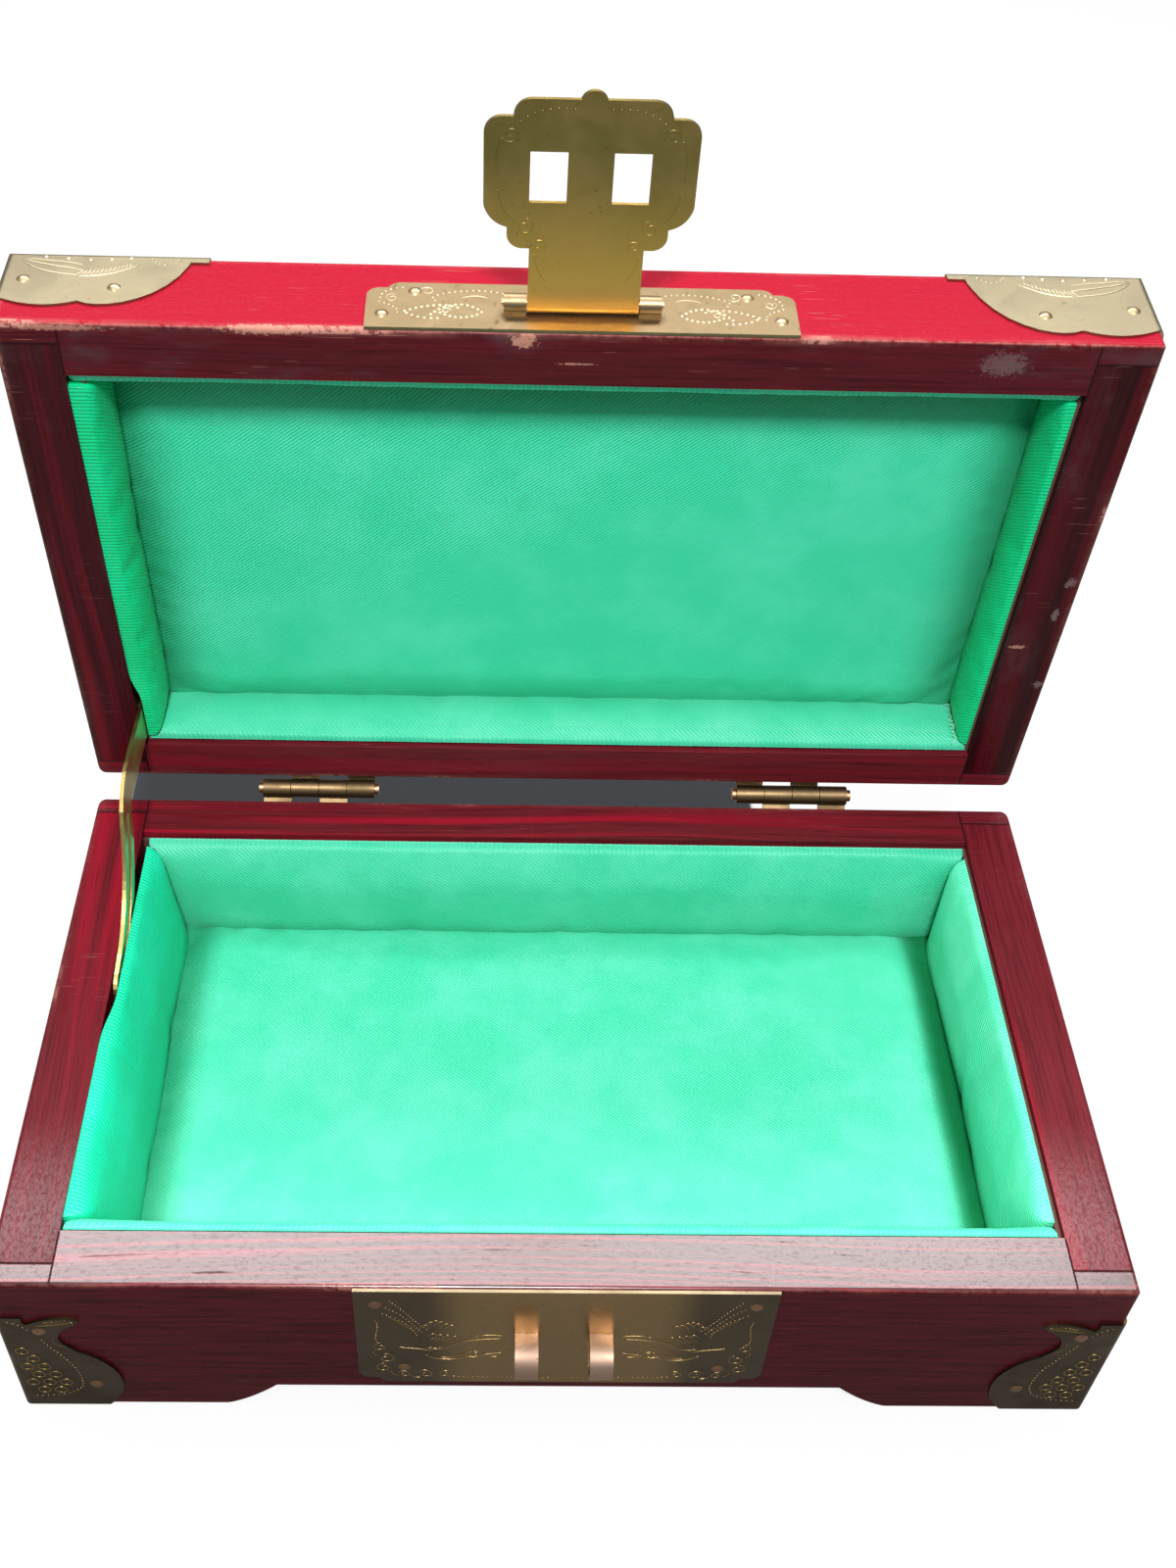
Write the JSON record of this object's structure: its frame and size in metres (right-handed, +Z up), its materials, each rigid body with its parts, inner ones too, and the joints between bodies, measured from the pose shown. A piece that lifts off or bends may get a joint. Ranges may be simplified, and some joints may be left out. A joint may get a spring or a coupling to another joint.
{
  "type": "jewelry box",
  "caption": "Lacquered wooden jewelry box on bracket feet, with a hinged padded lid, brass corner fittings, a lid stay and a slotted hasp that folds over staples.",
  "frame": {"origin": "centre of the open box's bounding box, on the surface it stands on", "axes": "+X to the box's right, +Y to its back, +Z up"},
  "size_m": [0.205, 0.1497, 0.2089],
  "materials": {
    "base_lacquer": "dark maroon gloss lacquer over fine grain",
    "lid_lacquer": "crimson gloss lacquer over fine grain",
    "pale_brass": "pale aged brass sheet with pressed ornament",
    "dark_brass": "darkened aged brass sheet with pressed rings",
    "hasp_brass": "plain aged brass sheet",
    "hinge_brass": "browned brass",
    "nail_brass": "domed brass heads",
    "copper_pin": "copper-coloured pins",
    "satin": "green twill satin over soft padding",
    "card": "plain grey-brown card"
  },
  "bodies": {
    "base": {"base_front_board": "base_lacquer", "base_back_board": "base_lacquer", "base_left_board": "base_lacquer", "base_right_board": "base_lacquer", "base_bottom_panel": "base_lacquer", "base_corner_front_left": "dark_brass", "base_corner_front_right": "dark_brass", "base_corner_rear_left": "dark_brass", "base_corner_rear_right": "dark_brass", "base_corner_nails": "nail_brass", "lock_plate": "pale_brass", "lock_plate_nails": "nail_brass", "staple_left": "pale_brass", "staple_right": "pale_brass", "hinge_left_base_leaf": "hinge_brass", "hinge_right_base_leaf": "hinge_brass", "hinge_left_pin": "copper_pin", "hinge_right_pin": "copper_pin", "base_hinge_nails": "hinge_brass", "stay_base_nail": "nail_brass", "base_lining_cards": "card", "base_floor_pad": "satin", "base_front_lining": "satin", "base_back_lining": "satin", "base_left_lining": "satin", "base_right_lining": "satin"},
    "lid": {"lid_front_board": "lid_lacquer", "lid_back_board": "lid_lacquer", "lid_left_board": "lid_lacquer", "lid_right_board": "lid_lacquer", "lid_top_panel": "lid_lacquer", "lid_corner_front_left": "pale_brass", "lid_corner_front_right": "pale_brass", "lid_corner_rear_left": "pale_brass", "lid_corner_rear_right": "pale_brass", "lid_corner_nails": "nail_brass", "lid_hinge_nails": "hinge_brass", "lid_lining_cards": "card", "lid_ceiling_pad": "satin", "lid_front_lining": "satin", "lid_back_lining": "satin", "lid_left_lining": "satin", "lid_right_lining": "satin", "hasp_plate": "pale_brass", "hasp_plate_nails": "nail_brass", "hasp_pin": "copper_pin", "hinge_left_lid_leaf": "hinge_brass", "hinge_right_lid_leaf": "hinge_brass", "stay_lid_nail": "nail_brass"},
    "hasp": {"hasp": "hasp_brass"},
    "stay": {"lid_stay": "pale_brass"}
  },
  "joints": [
    {"name": "lid_hinge", "type": "hinge", "parent": "base", "child": "lid", "pos_m": [0, 0.05397, 0.04535], "axis": [1, 0, 0], "range_deg": [0, 85.8]},
    {"name": "hasp_hinge", "type": "hinge", "parent": "lid", "child": "hasp", "pos_m": [0, 0.05041, 0.16957], "axis": [1, 0, 0], "range_deg": [-88, 90]},
    {"name": "stay_pivot", "type": "hinge", "parent": "lid", "child": "stay", "pos_m": [-0.0895, 0.05732, 0.06665], "axis": [1, 0, 0], "range_deg": [-77.22, 0]}
  ],
  "couplings": [
    {"joint": "stay_pivot", "follows": "lid_hinge", "ratio": -0.9}
  ]
}
